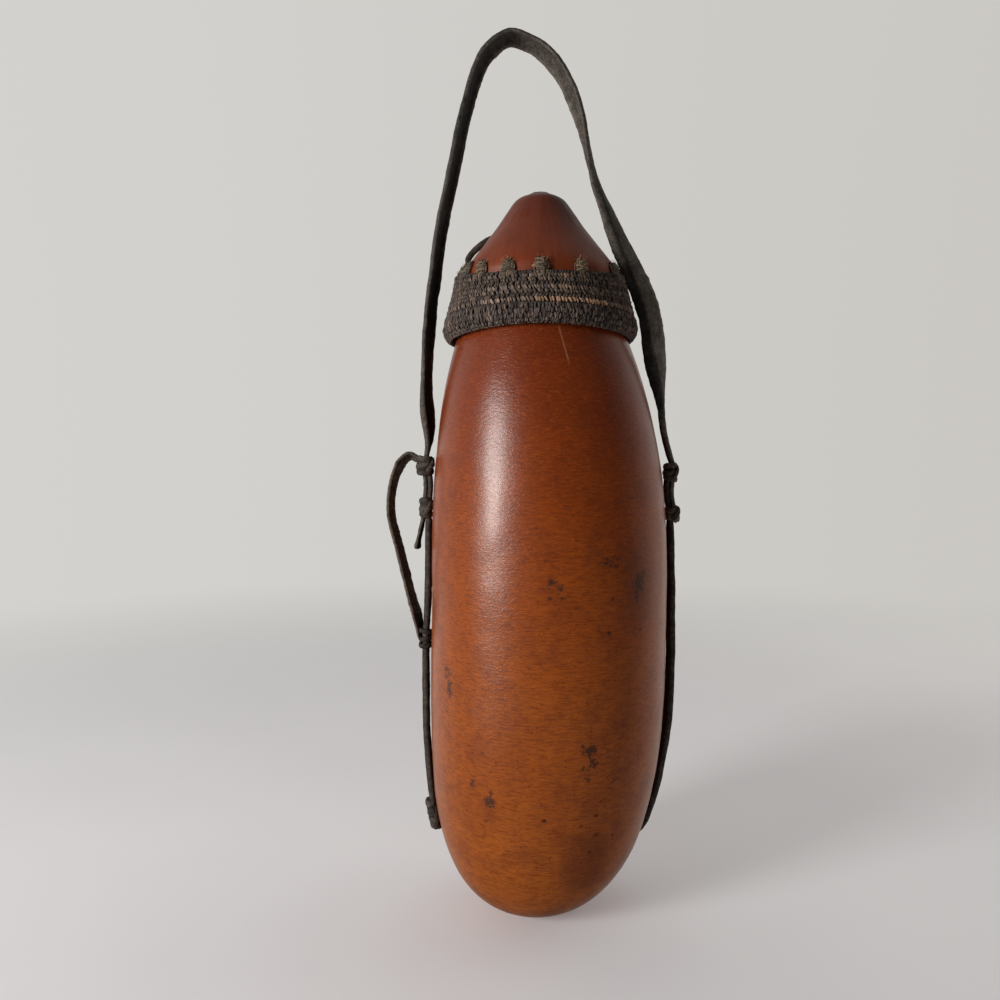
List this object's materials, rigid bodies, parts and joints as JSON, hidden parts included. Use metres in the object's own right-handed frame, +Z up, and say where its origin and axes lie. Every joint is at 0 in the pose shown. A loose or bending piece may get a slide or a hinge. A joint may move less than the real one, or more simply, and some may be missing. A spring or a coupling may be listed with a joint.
{
  "type": "drinking gourd",
  "caption": "Long dried gourd bottle with a conical gourd lid, a woven fibre collar stitched to the lid and a knotted leather carrying strap.",
  "frame": {"origin": "middle of the small flat foot under the gourd", "axes": "+Z up the gourd towards the lid, -Y towards the front, +X to the front view's right"},
  "size_m": [0.1309, 0.1038, 0.3838],
  "materials": {
    "gourd": "oiled and hand-polished gourd shell, satin",
    "lid": "darker polished gourd shell, satin",
    "fibre": "twined plant fibre, dark with use",
    "leather": "stiff blackened hide, dry and worn at the edges"
  },
  "bodies": {
    "root": {"gourd_body": "gourd", "gourd_lid": "lid", "fibre_collar": "fibre", "lid_loop": "leather", "handle_strap": "leather", "side_strap_left": "leather", "sling_strap": "leather", "thong_loop_left": "leather", "knot_left_upper": "leather", "knot_left_lower": "leather", "knot_right_upper": "leather", "knot_right_lower": "leather", "knot_base_left": "leather"}
  },
  "joints": []
}
